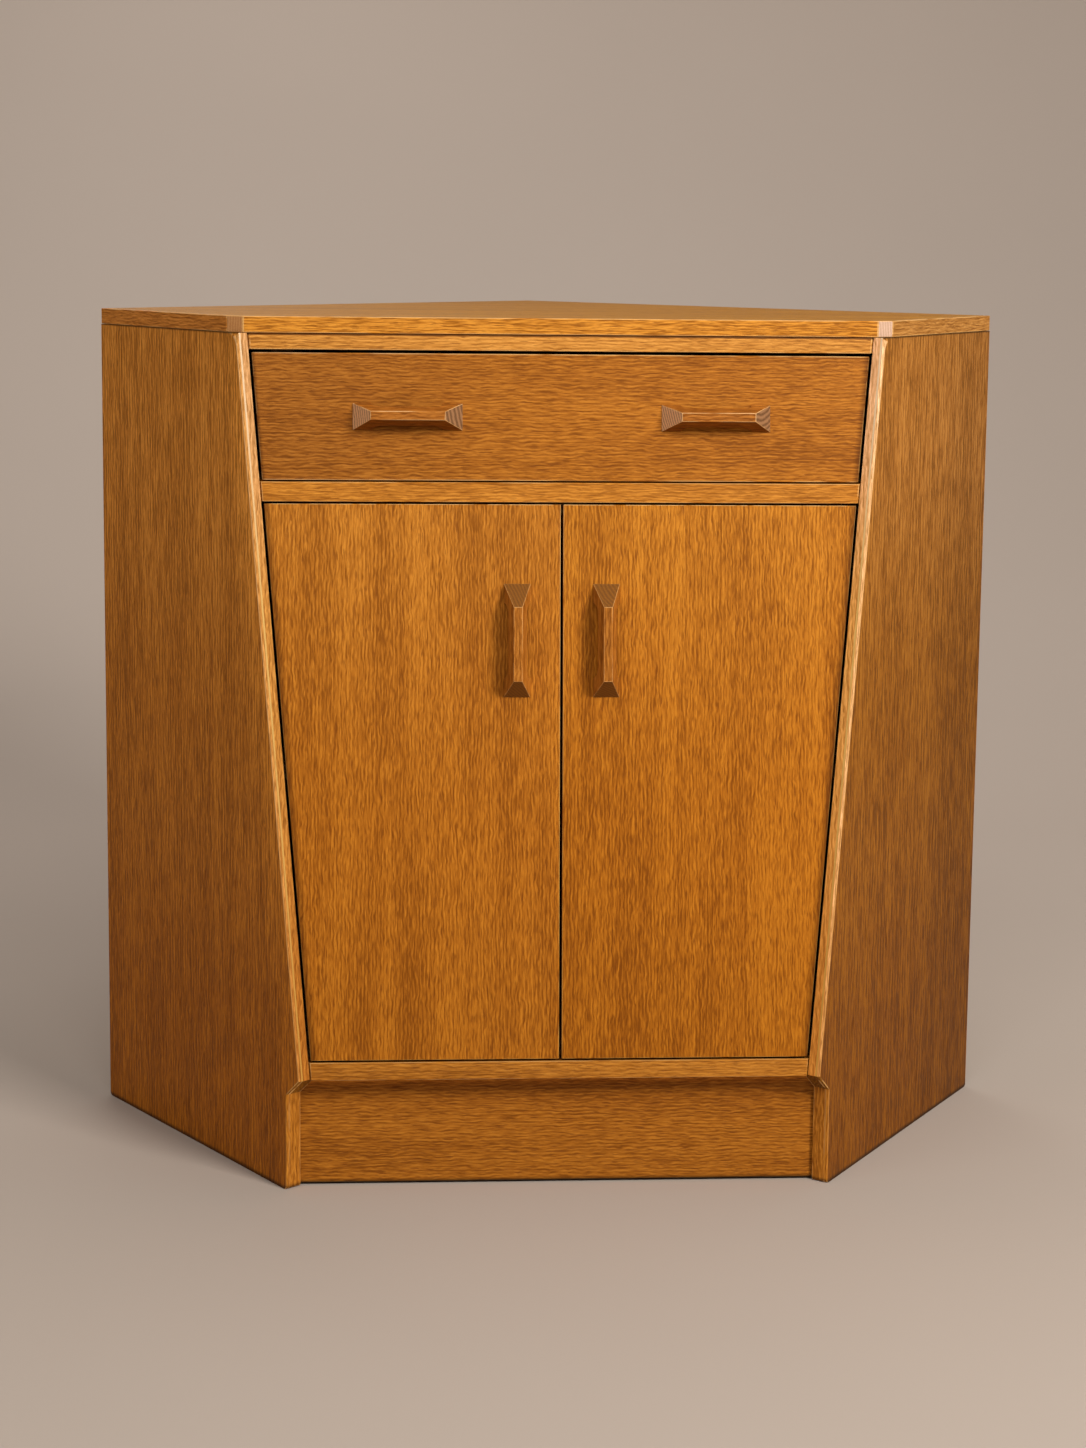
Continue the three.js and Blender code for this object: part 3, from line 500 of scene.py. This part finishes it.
materials = {
    "door_left": oakMaterial("oak_left_door", (0.478, 0.166, 0.0148), leaning, seed=1,
                             tints=tints["doors"] + [gapTint(-1, "doorReach")], **door),
    "door_right": oakMaterial("oak_right_door", (0.468, 0.159, 0.0112), leaning, seed=2,
                              tints=tints["doors"] + [gapTint(1, "doorReach")], **door),
    "drawer": oakMaterial("oak_drawer_front", (0.393, 0.128, 0.0102), level, seed=3, tints=[
        *tints["drawer"], gapTint(-1, "drawerLeftReach"), gapTint(1, "drawerRightReach")]),
    # The two side panels are one oak; their colours differ to paint in how each is lit (painted light and
    # shade), the left one much lighter
    "side_left": oakMaterial("oak_left_side_panel", (0.775, 0.287, 0.0380), upright, seed=4,
                             across=alongReturn(-1), **sidePanel, **leftPanel),
    "side_right": oakMaterial("oak_right_side_panel", (0.388, 0.147, 0.0225), upright, seed=5,
                              across=alongReturn(1), **sidePanel, **rightPanel),
    "top": oakMaterial("oak_top_board", (0.470, 0.188, 0.0085), level, seed=5, across=(0, 1, 0),
                       roughness=0.37, lineStrength=0.6, bandContrast=0.5, **straighter),
    "lipping": oakMaterial("oak_top_lipping", (0.553, 0.204, 0.0198), level, seed=6,
                           streakContrast=1.6, **straighter),
    "top_rail": oakMaterial("oak_top_rail", (0.545, 0.218, 0.0330), level, seed=7,
                            tints=tints["topRail"], **straighter),
    "rail": oakMaterial("oak_rail", (0.528, 0.193, 0.0202), level, seed=8,
                        tints=tints["rails"], **straighter),
    # The plinth's colour is its upper strip's, painted lighter than the rest against the bottom rail's
    # shadow: painted light
    "plinth": oakMaterial("oak_plinth", (0.630, 0.207, 0.0160), level, seed=9, roughness=0.42,
                          tints=tints["plinth"]),
    # Painted shade: the notch's downward faces, in the shadow of the step, are painted dark
    "notch": oakMaterial("oak_notch", (0.240, 0.085, 0.0070), upright, seed=27),
    # The top's two corner facets are one end grain; the right one is painted lighter for the light that
    # falls on it: painted light
    "facet_left": endGrainMaterial("oak_left_top_facet", (0.40, 0.155, 0.042), (0.62, 0.310, 0.115),
                                   wear=0.4),
    "facet_right": endGrainMaterial("oak_right_top_facet", (0.48, 0.280, 0.175), (0.76, 0.520, 0.380),
                                    wear=0.4),
    # The level handles' pale worn arris also stands in for the highlight that light from above puts on
    # their top arris: painted highlight
    "handle_level": oakMaterial("oak_level_handle", (0.378, 0.122, 0.0138), level, seed=10,
                                wornColour=(0.92, 0.58, 0.27), wear=0.9,
                                tints=tints["drawerHandles"]),
    "handle_upright": oakMaterial("oak_upright_handle", (0.400, 0.135, 0.0150), leaning, seed=11,
                                  wornColour=(0.72, 0.36, 0.12), wear=0.8),
    # The handle ends are one end grain: the right ends, which face the key lamp, are painted darker and the
    # left ends lighter: painted light and shade
    "handle_end_left": endGrainMaterial("oak_left_handle_end", (0.26, 0.115, 0.045), (0.84, 0.460, 0.230),
                                        wear=0.6, ringStrength=0.7),
    "handle_end_right": endGrainMaterial("oak_right_handle_end", (0.08, 0.034, 0.012), (0.36, 0.185, 0.085),
                                         wear=0.6, ringStrength=0.7),
    "handle_end_upright": endGrainMaterial("oak_upright_handle_end", (0.13, 0.050, 0.012),
                                           (0.29, 0.110, 0.016), wear=0.4),
    "inside": oakMaterial("plywood_inside", (0.50, 0.300, 0.140), level, seed=12, **plywood),
    "inside_upright": oakMaterial("plywood_back", (0.48, 0.290, 0.135), upright, seed=13, **plywood),
    "batten": oakMaterial("softwood_batten", (0.58, 0.390, 0.180), level, seed=14, **plywood),
    "steel": metalMaterial("dull_steel", (0.52, 0.51, 0.49), 0.32),
    "dark_steel": metalMaterial("blackened_steel", (0.035, 0.032, 0.03), 0.5),
    "brass": metalMaterial("dull_brass", (0.55, 0.40, 0.16), 0.34),
}
# Each kind's left and right colours are one oak; where they differ, it is to paint in how each side is lit
# (painted light and shade)
sideColours = {
    "edge": {-1: (0.64, 0.320, 0.112), 1: (0.80, 0.415, 0.180)},
    "bevel": {-1: (0.72, 0.330, 0.085), 1: (0.80, 0.450, 0.200)},
    "foot": {-1: (0.484, 0.170, 0.0155), 1: (0.484, 0.170, 0.0155)},
    "lipping": {-1: (0.62, 0.216, 0.0315), 1: (0.45, 0.191, 0.039)},
}
# Plus the side's sign, so that left and right differ
sideSeeds = {"edge": 15, "bevel": 24, "foot": 21, "lipping": 18}


# The material of a piece that each side has
def sideMaterial(name, kind, side, grain, changes):
    return oakMaterial(name, sideColours[kind][side], grain, seed=sideSeeds[kind] + side, **changes)


for side, word in sides:
    slope = alongSlopingEdge(side)
    materials[f"edge_{word}"] = sideMaterial(f"oak_{word}_sloping_edge", "edge", side, slope, edgeWearAndHighlight)
    materials[f"bevel_{word}"] = sideMaterial(f"oak_{word}_edge_bevel", "bevel", side, slope, bevelWearAndHighlight)
    materials[f"foot_{word}"] = sideMaterial(f"oak_{word}_foot", "foot", side, upright, footWearAndShadow)
    materials[f"lipping_{word}"] = sideMaterial(
        f"oak_{word}_return_lipping", "lipping", side, alongReturn(side), straighter)
print("materials:", len(materials))


# Dresses a CAD node: a merged copy with rounded arrises, which are marked to be painted pale, as worn wood
# and as painted highlight

rounding = {
    "lipping": 0.0008,
    "front": 0.0009,
    "pocketed": 0.0005,
    "handle": 0.0009,
    "inside": 0.0005,
    "segments": 2,
    "profile": 0.5,        # a round one
    "leastAngle": 25,      # degrees between faces that have an arris
    "sharpAngle": 50,      # edges past it keep a crease
    "leastLength": 0.006,  # shorter edges, such as those of screw holes, stay as they are
    "flatAngle": 0.5,      # degrees between faces that are merged
    "closeness": 1e-5,     # between points that count as one
}


def bodyOf(nodeName):
    bodies = frame["record"]["behaviour"]["bodies"]
    return next(body for body, nodes in bodies.items() if nodeName in nodes)


def mergedCopy(nodeName):
    copy = bmesh.new()
    copy.from_mesh(frame["nodes"][nodeName].data)
    bmesh.ops.remove_doubles(copy, verts=copy.verts, dist=rounding["closeness"])
    flatAngle = math.radians(rounding["flatAngle"])
    bmesh.ops.dissolve_limit(copy, angle_limit=flatAngle, verts=copy.verts, edges=copy.edges)
    copy.normal_update()
    return copy


def isArris(edge):
    if len(edge.link_faces) != 2 or edge.calc_length() < rounding["leastLength"]:
        return False
    return edge.calc_face_angle_signed(0) > math.radians(rounding["leastAngle"])


# Whether the whole piece lies behind both faces of an edge, as it does at the edges of its outline
def isOutermost(copy, edge):
    corner = edge.verts[0].co
    return all(face.normal.dot(vertex.co - corner) < rounding["closeness"]
               for face in edge.link_faces for vertex in copy.verts)


def roundEdges(copy, wear, width, edges):
    rounded = bmesh.ops.bevel(copy, geom=edges, offset=width, segments=rounding["segments"],
                              profile=rounding["profile"], affect="EDGES", clamp_overlap=True)
    for face in rounded["faces"]:
        face[wear] = 1


def roundArrises(copy, wear, width):
    roundEdges(copy, wear, width, [edge for edge in copy.edges if isArris(edge)])


# Rounds a piece that has pockets, and leaves the rims of the pockets sharp
def roundOutline(copy, wear, width):
    outline = [edge for edge in copy.edges if isArris(edge) and isOutermost(copy, edge)]
    roundEdges(copy, wear, width, outline)


# The worn strips along a side panel's front edge, painted pale as highlights as well as worn wood
scoring = {
    "strips": ((0.0, 0.0012), (0.0033, 0.0017), (0.0150, 0.0014)),   # depth from the outer face, width
    "closeness": 1e-6,
    "mostTurn": 0.98,   # cosine of the turn from the panel's faces, past which a face isn't on the edge
}


# The direction from a side panel's outer face to its inner one
def acrossPanel(side):
    return Vector((-side * math.sin(returnAngle), math.cos(returnAngle), 0))


# Marks the strips as worn, which paints them pale as highlights too, instead of rounding, because the
# panel's outline has steps too short to round
def scoreEdge(copy, wear, side):
    inward = acrossPanel(side)
    outerFace = min(vertex.co.dot(inward) for vertex in copy.verts)
    for depth, width in scoring["strips"]:
        middle = outerFace + depth
        for place in (middle - width / 2, middle + width / 2):
            parts = [*copy.verts, *copy.edges, *copy.faces]
            bmesh.ops.bisect_plane(copy, geom=parts, dist=scoring["closeness"],
                                   plane_co=inward * place, plane_no=inward)
        for face in copy.faces:
            onEdge = abs(face.normal.dot(inward)) < scoring["mostTurn"]
            if onEdge and abs(face.calc_center_median().dot(inward) - middle) < width / 2:
                face[wear] = 1


# Extras are pairs of a material and a test that tells which faces take it
def dress(nodeName, material, wearAt, amount, *extras):
    copy = mergedCopy(nodeName)
    wear = copy.faces.layers.float.new("wear")
    wearAt(copy, wear, amount)
    for face in copy.faces:
        face.smooth = True
    for edge in copy.edges:
        edge.smooth = edge.calc_face_angle(0) < math.radians(rounding["sharpAngle"])
    mesh = bpy.data.meshes.new(f"{nodeName}_dressed")
    mesh.materials.append(material)
    for index, (extraMaterial, wanted) in enumerate(extras, 1):
        mesh.materials.append(extraMaterial)
        for face in copy.faces:
            face.normal_update()
            if wanted(face):
                face.material_index = index
    copy.to_mesh(mesh)
    copy.free()
    piece = addObject(f"{nodeName}_dressed", mesh)
    shading = piece.modifiers.new("even faces", "WEIGHTED_NORMAL")
    shading.keep_sharp = True
    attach(piece, bodyOf(nodeName))
    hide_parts(nodeName)


def facing(direction, least):
    unit = Vector(direction).normalized()
    return lambda face: face.normal.dot(unit) > least


def below(height, wanted):
    return lambda face: face.calc_center_median().z < height and wanted(face)


def eitherEnd(direction, least):
    unit = Vector(direction).normalized()
    return lambda face: abs(face.normal.dot(unit)) > least


# Least cosine of the turn between a face and the direction that its material is for
leastFacing = {"facet": 0.4, "bevel": 0.3, "edge": 0.88, "notch": 0.3, "handleEnd": 0.5}
footTop = 0.1   # a sloping edge is a foot below this height


# Top and side panels

dress("top_board", materials["top"], roundArrises, rounding["lipping"])
dress("top_front_lipping", materials["lipping"], roundArrises, rounding["lipping"],
      (materials["facet_left"], facing(leftward, leastFacing["facet"])),
      (materials["facet_right"], facing(level, leastFacing["facet"])))
for side, word in sides:
    dress(f"top_{word}_lipping", materials[f"lipping_{word}"], roundArrises, rounding["lipping"])
    dress(f"{word}_side_panel", materials[f"side_{word}"], scoreEdge, side,
          (materials[f"bevel_{word}"], facing(alongReturn(side), leastFacing["bevel"])),
          (materials[f"edge_{word}"], facing(alongReturn(side), leastFacing["edge"])),
          (materials[f"foot_{word}"], below(footTop, facing(alongReturn(side), leastFacing["bevel"]))),
          (materials["notch"], facing(downward, leastFacing["notch"])))
print("top and side panels dressed")

# Rails, plinth, drawer front and doors

dress("top_rail", materials["top_rail"], roundArrises, rounding["front"])
for rail in ("middle_rail", "bottom_rail"):
    dress(rail, materials["rail"], roundOutline, rounding["pocketed"])
dress("plinth", materials["plinth"], roundArrises, rounding["front"])
dress("drawer_front", materials["drawer"], roundArrises, rounding["front"])
for _, word in sides:
    dress(f"{word}_door_panel", materials[f"door_{word}"], roundOutline, rounding["pocketed"])
print("front dressed")

# Handles

for _, word in sides:
    dress(f"drawer_{word}_handle", materials["handle_level"], roundArrises, rounding["handle"],
          (materials["handle_end_left"], facing(leftward, leastFacing["handleEnd"])),
          (materials["handle_end_right"], facing(level, leastFacing["handleEnd"])))
    dress(f"{word}_door_handle", materials["handle_upright"], roundArrises, rounding["handle"],
          (materials["handle_end_upright"], eitherEnd(leaning, leastFacing["handleEnd"])))
print("handles dressed")

# What shows when the doors and the drawer are open, and the back

for board in ("bottom_board", "divider_board", "shelf", "drawer_bottom", "drawer_back"):
    dress(board, materials["inside"], roundArrises, rounding["inside"])
for _, word in sides:
    dress(f"{word}_back_panel", materials["inside_upright"], roundArrises, rounding["inside"])
    dress(f"drawer_{word}_side", materials["inside"], roundArrises, rounding["inside"])
battens = (
    "plinth_block", "shelf_bearer", "rear_shelf_bearer", "top_block", "drawer_runner", "drawer_kicker")
for _, word in sides:
    for batten in battens:
        dress(f"{word}_{batten}", materials["batten"], roundArrises, rounding["inside"])
dress("corner_post", materials["batten"], roundArrises, rounding["inside"])
dress("door_catch", materials["brass"], roundArrises, rounding["inside"])


def finishMetal(words, material):
    for name, node in frame["nodes"].items():
        if any(word in name for word in words):
            node.data.materials.clear()
            node.data.materials.append(material)


finishMetal(("screw",), materials["steel"])
finishMetal(("pivot", "socket"), materials["dark_steel"])
finishMetal(("strike",), materials["brass"])
print("inside dressed")


# Rows of heads along lines: pins that hold the back panels, and screws in the battens

pins = {"radius": 0.0028, "flatness": 0.28, "spacing": 0.085, "margin": 0.018, "sink": 0.0002, "seed": 3}
screws = {"radius": 0.0036, "flatness": 0.30, "spacing": 0.075, "margin": 0.022, "sink": 0.0004, "seed": 8}
heads = {"leastShare": 0.92, "mostShare": 1.08, "segments": 14, "rings": 8}   # shares of the radius
boardPinShares = (0.06, 0.94)   # of a back panel's width, where the pins at a board start and end


def headsTree(name, material):
    tree = bpy.data.node_groups.new(name, "GeometryNodeTree")
    tree.interface.new_socket("Lines", in_out="INPUT", socket_type="NodeSocketGeometry")
    inputs = {key: tree.interface.new_socket(key, in_out="INPUT", socket_type="NodeSocketFloat")
              for key in ("radius", "flatness", "spacing")}
    inputs["seed"] = tree.interface.new_socket("seed", in_out="INPUT", socket_type="NodeSocketInt")
    tree.interface.new_socket("Heads", in_out="OUTPUT", socket_type="NodeSocketGeometry")
    start = tree.nodes.new("NodeGroupInput")
    end = tree.nodes.new("NodeGroupOutput")

    def add(kind, sockets, **settings):
        node = tree.nodes.new(kind)
        for key, setting in settings.items():
            setattr(node, key, setting)
        for key, value in sockets.items():
            if isinstance(value, bpy.types.NodeSocket):
                tree.links.new(value, node.inputs[key])
            else:
                node.inputs[key].default_value = value
        return node

    curve = add("GeometryNodeMeshToCurve", {"Mesh": start.outputs["Lines"]})
    rows = add("GeometryNodeResampleCurve", {"Curve": curve.outputs[0], "Length": start.outputs["spacing"]},
               mode="LENGTH")
    facingSide = add("GeometryNodeInputNamedAttribute", {"Name": "facing"}, data_type="FLOAT_VECTOR")
    turned = add("FunctionNodeAlignRotationToVector", {"Vector": facingSide.outputs[0]}, axis="Z")
    flat = add("ShaderNodeCombineXYZ", {"X": 1.0, "Y": 1.0, "Z": start.outputs["flatness"]})
    size = add("FunctionNodeRandomValue", {
        "Min": heads["leastShare"], "Max": heads["mostShare"], "Seed": start.outputs["seed"]})
    scale = add("ShaderNodeVectorMath", {0: flat.outputs[0]}, operation="SCALE")
    tree.links.new(floatOutput(size), scale.inputs["Scale"])
    head = add("GeometryNodeMeshUVSphere", {
        "Segments": heads["segments"], "Rings": heads["rings"], "Radius": start.outputs["radius"]})
    placed = add("GeometryNodeInstanceOnPoints", {
        "Points": rows.outputs[0], "Instance": head.outputs[0],
        "Rotation": turned.outputs[0], "Scale": scale.outputs[0]})
    real = add("GeometryNodeRealizeInstances", {"Geometry": placed.outputs[0]})
    painted = add("GeometryNodeSetMaterial", {"Geometry": real.outputs[0], "Material": material})
    tree.links.new(painted.outputs[0], end.inputs[0])
    return tree, {key: socket.identifier for key, socket in inputs.items()}


def floatOutput(node):
    return next(socket for socket in node.outputs if socket.enabled and socket.type == "VALUE")


# Each line is a pair of ends with the direction that its heads face
def addHeads(name, lines, look, material, body):
    mesh = bpy.data.meshes.new(f"{name}_lines")
    points = [point for start, end, _ in lines for point in (start, end)]
    edges = [(2 * index, 2 * index + 1) for index in range(len(lines))]
    mesh.from_pydata(points, edges, [])
    facingSide = mesh.attributes.new("facing", "FLOAT_VECTOR", "POINT")
    for index, (_, _, direction) in enumerate(lines):
        for corner in (2 * index, 2 * index + 1):
            facingSide.data[corner].vector = direction
    source = addObject(f"{name}_source", mesh)
    tree, identifiers = headsTree(f"{name}_rows", material)
    rows = source.modifiers.new("rows", "NODES")
    rows.node_group = tree
    for key, identifier in identifiers.items():
        rows[identifier] = look[key]
    evaluated = source.evaluated_get(bpy.context.evaluated_depsgraph_get())
    plain = bpy.data.meshes.new_from_object(evaluated)
    source.modifiers.remove(rows)
    bpy.data.objects.remove(source)
    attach(addObject(name, plain), body)


def boxOf(nodeName):
    corners = [vertex.co for vertex in frame["nodes"][nodeName].data.vertices]
    low = Vector(min(corner[axis] for corner in corners) for axis in range(3))
    high = Vector(max(corner[axis] for corner in corners) for axis in range(3))
    return low, high


# Lines down the edges of a back panel, and across it at each board
def pinLines(side, word, look):
    low, high = boxOf(f"{word}_back_panel")
    outward = Vector((side, 1, 0)).normalized()
    sink = outward * -look["sink"]
    inner = Vector((side * look["margin"], high.y - look["margin"], 0)) + sink
    outerX = max(abs(low.x), abs(high.x)) - look["margin"]
    outer = Vector((side * outerX, high.y - outerX, 0)) + sink
    bottom = Vector((0, 0, low.z + look["margin"]))
    top = Vector((0, 0, high.z - look["margin"]))
    lines = [(place + bottom, place + top, outward) for place in (inner, outer)]
    for board in ("bottom_board", "shelf", "divider_board"):
        boardLow, boardHigh = boxOf(board)
        height = Vector((0, 0, (boardLow.z + boardHigh.z) / 2))
        ends = [inner.lerp(outer, share) + height for share in boardPinShares]
        lines.append((*ends, outward))
    return lines


for side, word in sides:
    addHeads(f"{word}_back_pins", pinLines(side, word, pins), pins, materials["dark_steel"], "carcase")


# A line along the middle of a side batten's face
def screwLine(nodeName, side, look):
    corners = [vertex.co for vertex in frame["nodes"][nodeName].data.vertices]
    inward = acrossPanel(side)
    forward = Vector(alongReturn(side))
    depth = max(corner.dot(inward) for corner in corners) - look["sink"]
    lengths = [corner.dot(forward) for corner in corners]
    heights = [corner.z for corner in corners]
    height = Vector((0, 0, (min(heights) + max(heights)) / 2))
    ends = [inward * depth + forward * length + height
            for length in (min(lengths) + look["margin"], max(lengths) - look["margin"])]
    return (*ends, inward)


battenLines = [screwLine(f"{word}_{batten}", side, screws)
               for side, word in sides
               for batten in ("shelf_bearer", "top_block")]
addHeads("batten_screws", battenLines, screws, materials["steel"], "carcase")
print("pins and batten screws added")


# Studio: a sweep that is floor and wall in one, lamps and the camera

studio = {
    "floorColour": (0.487, 0.415, 0.357),
    "wallColour": (0.655, 0.556, 0.483),
    "colourDepths": (-0.3, 1.1),     # floor colour before the first, wall colour past the second
    "floorFront": -5.0,
    "wallPlace": 2.6,
    "sweepRadius": 1.6,
    "sweepSteps": 16,
    "wallHeight": 5.0,
    "halfWidth": 6.0,
    "worldColour": (0.90, 0.86, 0.82),
    "worldStrength": 0.13,
    "cloudScale": (1.5, 1.5, 1.5),
    "cloudRange": (0.3, 0.7),
    "cloudStrength": 0.02,
    "roughness": 0.85,
    "cloudDullness": 0.05,       # added to the roughness
    "depth": 0.00001,
    "lampAim": (0, -0.15, 0.45),
}


def sweepMaterial():
    shader = Shader("studio_sweep")
    place = shader.position()
    depth = shader.position("Y")
    cloud = shader.noise(place, studio["cloudScale"])
    away = shader.step(depth, *studio["colourDepths"])
    colour = shader.mix(away, studio["floorColour"], studio["wallColour"])
    darkening = shader.step(cloud, *studio["cloudRange"]) * studio["cloudStrength"]
    colour = shader.mix(darkening, colour, (0, 0, 0))
    shader.clearBehind()
    dullness = cloud * studio["cloudDullness"] + studio["roughness"]
    return shader.finish(colour, dullness, cloud, studio["depth"])


def buildSweep():
    profile = [(studio["floorFront"], 0.0)]
    radius = studio["sweepRadius"]
    for step in range(studio["sweepSteps"] + 1):
        turn = math.pi / 2 * step / studio["sweepSteps"]
        y = studio["wallPlace"] - radius + radius * math.sin(turn)
        profile.append((y, radius - radius * math.cos(turn)))
    profile.append((studio["wallPlace"], studio["wallHeight"]))
    points = []
    faces = []
    for index, (y, z) in enumerate(profile):
        points += [(-studio["halfWidth"], y, z), (studio["halfWidth"], y, z)]
        if index:
            first = 2 * index - 2
            faces.append((first, first + 1, first + 3, first + 2))
    mesh = bpy.data.meshes.new("studio_sweep")
    mesh.from_pydata(points, [], faces)
    mesh.polygons.foreach_set("use_smooth", [True] * len(faces))
    mesh.materials.append(sweepMaterial())
    addObject("studio_sweep", mesh)


lamps = {
    "front": {"place": (-0.3, -2.1, 2.2), "size": 1.5, "power": 18, "colour": (1.0, 0.97, 0.93)},
    "key": {"place": (1.6, -2.1, 1.8), "size": 0.7, "power": 66, "colour": (1.0, 0.95, 0.89)},
    "fill": {"place": (-2.2, -1.8, 2.3), "size": 1.4, "power": 11, "colour": (1.0, 0.97, 0.93)},
    "rear": {"place": (-0.8, 2.1, 2.3), "size": 1.4, "power": 9, "colour": (1.0, 0.97, 0.93)},
    "above": {"place": (0.3, 0.3, 3.0), "size": 1.6, "power": 12, "colour": (1.0, 0.98, 0.95)},
}


def addLamps():
    aim = Vector(studio["lampAim"])
    for name, lamp in lamps.items():
        light = bpy.data.lights.new(name, "AREA")
        light.size = lamp["size"]
        light.energy = lamp["power"]
        light.color = lamp["colour"]
        holder = addObject(name, light)
        holder.location = lamp["place"]
        holder.rotation_euler = (aim - holder.location).to_track_quat("-Z", "Y").to_euler()


def lightWorld():
    world = bpy.data.worlds.new("studio")
    world.use_nodes = True
    background = world.node_tree.nodes["Background"]
    background.inputs["Color"].default_value = (*studio["worldColour"], 1)
    background.inputs["Strength"].default_value = studio["worldStrength"]
    bpy.context.scene.world = world


camera = {
    "place": (-0.14321, -2.44617, 0.84062),
    "turnRight": 3.35,   # degrees
    "lookDown": 7.2,
    "roll": 0.58,
    "lens": 61.53,
    "shiftUp": -0.1202,
}


def addCamera():
    yaw = math.radians(camera["turnRight"])
    pitch = math.radians(camera["lookDown"])
    roll = math.radians(camera["roll"])
    ahead = Vector((math.sin(yaw) * math.cos(pitch), math.cos(yaw) * math.cos(pitch), -math.sin(pitch)))
    right = Vector((math.cos(yaw), -math.sin(yaw), 0))
    up = right.cross(ahead)
    turnedRight = right * math.cos(roll) + up * math.sin(roll)
    turnedUp = up * math.cos(roll) - right * math.sin(roll)
    lens = bpy.data.cameras.new("camera")
    lens.lens = camera["lens"]
    lens.shift_y = camera["shiftUp"]
    holder = addObject("camera", lens)
    axes = Matrix((turnedRight, turnedUp, -ahead)).transposed()
    holder.matrix_world = Matrix.Translation(camera["place"]) @ axes.to_4x4()
    bpy.context.scene.camera = holder


buildSweep()
addLamps()
lightWorld()
addCamera()
bpy.context.scene.view_settings.view_transform = "Standard"
print("studio ready")
